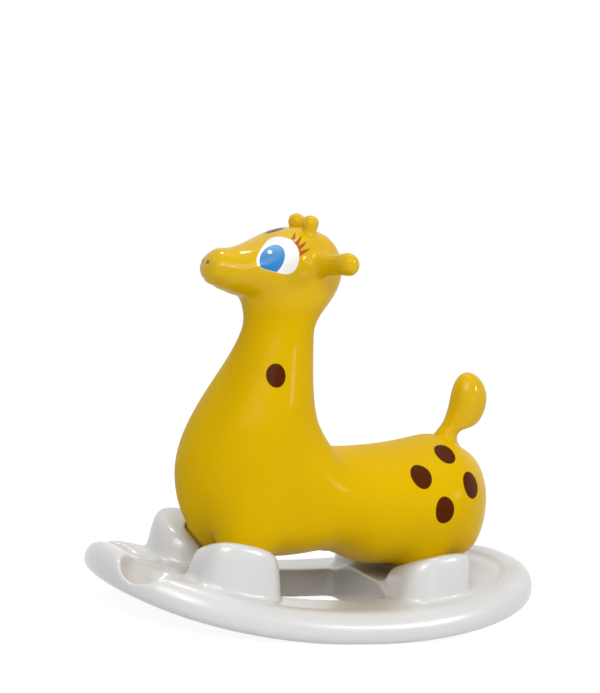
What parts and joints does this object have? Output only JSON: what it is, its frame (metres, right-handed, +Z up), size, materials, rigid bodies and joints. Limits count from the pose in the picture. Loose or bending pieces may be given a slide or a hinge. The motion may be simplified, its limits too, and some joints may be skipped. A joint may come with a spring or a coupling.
{
  "type": "inflatable bouncing giraffe",
  "caption": "Inflatable ride-on giraffe with ear grips, its legs standing in the cups of a curved rocker base that has foot scoops and a window in the middle.",
  "frame": {"origin": "middle of the base's footprint, on the floor", "axes": "+Z up, the giraffe faces -X, its left side is -Y"},
  "size_m": [0.72, 0.38, 0.6107],
  "materials": {
    "yellow_vinyl": "glossy soft PVC, blown up hard",
    "white_plastic": "pearly white blow-moulded polyethylene, smooth",
    "plug_vinyl": "pale soft PVC"
  },
  "bodies": {
    "base": {"rocker_base": "white_plastic"},
    "giraffe": {"leg_front_left": "yellow_vinyl", "leg_front_right": "yellow_vinyl", "leg_rear_left": "yellow_vinyl", "leg_rear_right": "yellow_vinyl", "belly_band": "yellow_vinyl"},
    "upper": {"torso": "yellow_vinyl", "neck": "yellow_vinyl", "head": "yellow_vinyl", "ear_left": "yellow_vinyl", "ear_right": "yellow_vinyl", "horn_left": "yellow_vinyl", "horn_right": "yellow_vinyl", "tail": "yellow_vinyl"},
    "plug": {"valve_plug": "plug_vinyl"}
  },
  "joints": [
    {"name": "giraffe_lift", "type": "slide", "parent": "base", "child": "giraffe", "axis": [0, 0, 1], "range_m": [0, 0.15]},
    {"name": "bounce", "type": "slide", "parent": "giraffe", "child": "upper", "axis": [0, 0, 1], "range_m": [-0.02, 0], "stiffness_N_per_m": 8000, "springref_m": 0.004, "deforming": ["belly_band"]},
    {"name": "plug_pull", "type": "slide", "parent": "giraffe", "child": "plug", "axis": [0, 0, -1], "range_m": [0, 0.03]}
  ]
}
